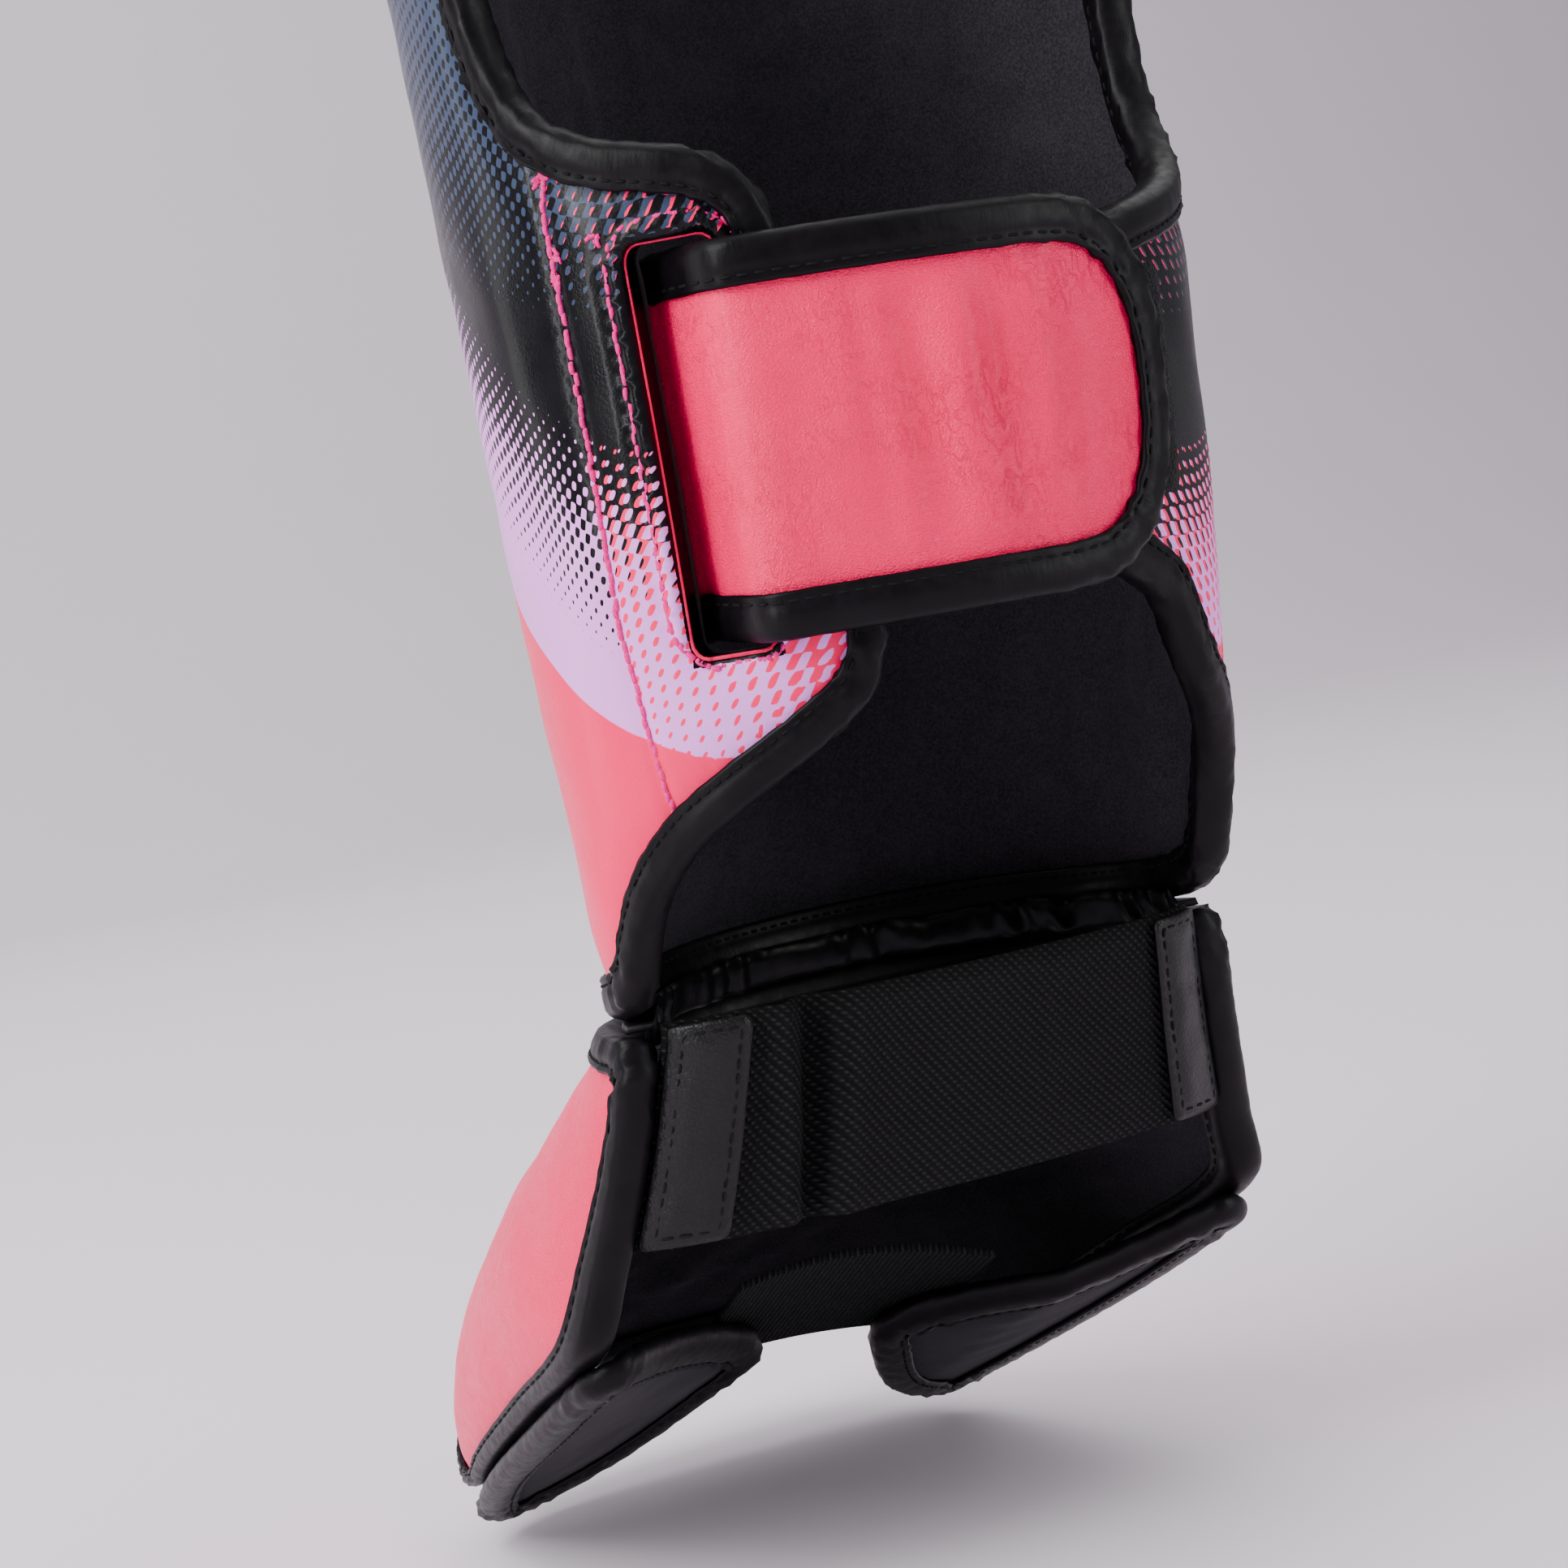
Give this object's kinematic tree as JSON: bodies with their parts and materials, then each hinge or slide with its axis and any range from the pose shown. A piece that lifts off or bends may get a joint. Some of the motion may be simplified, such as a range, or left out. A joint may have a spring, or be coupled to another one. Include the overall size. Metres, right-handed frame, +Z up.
{
  "type": "shin guard",
  "caption": "Padded shin and instep guard: a printed leather-look shell with wrap-round wings, a calf strap, a heel elastic and wings under the foot.",
  "frame": {"origin": "on the leg's axis at the ankle, at the height of the seam between shin shell and instep", "axes": "+Z up along the shin, +Y towards the toes, +X to the wearer's right; the calf side faces -Y"},
  "size_m": [0.1714, 0.2539, 0.4433],
  "materials": {
    "printed_leather": "smooth, semi-gloss, halftone print of slate, black, lilac and coral",
    "coral_leather": "smooth, semi-gloss, with fine creases",
    "binding": "matte, soft folded edging with black stitches",
    "lining": "brushed, matte",
    "elastic": "coarse twill, matte",
    "loop": "looped pile, matte",
    "grained_leather": "grained, satin"
  },
  "bodies": {
    "root": {"shin_shell": "printed_leather", "shin_lining": "lining", "shin_binding": "binding", "instep_shell": "coral_leather", "instep_lining": "lining", "instep_binding": "binding", "calf_strap": "coral_leather", "strap_binding": "binding", "loop_patch": "loop", "ankle_elastic": "elastic", "elastic_tab_left": "grained_leather", "elastic_tab_right": "grained_leather", "foot_wing_left": "lining", "foot_wing_left_binding": "binding", "foot_wing_right": "lining", "foot_wing_right_binding": "binding", "foot_strap": "elastic"}
  },
  "joints": []
}
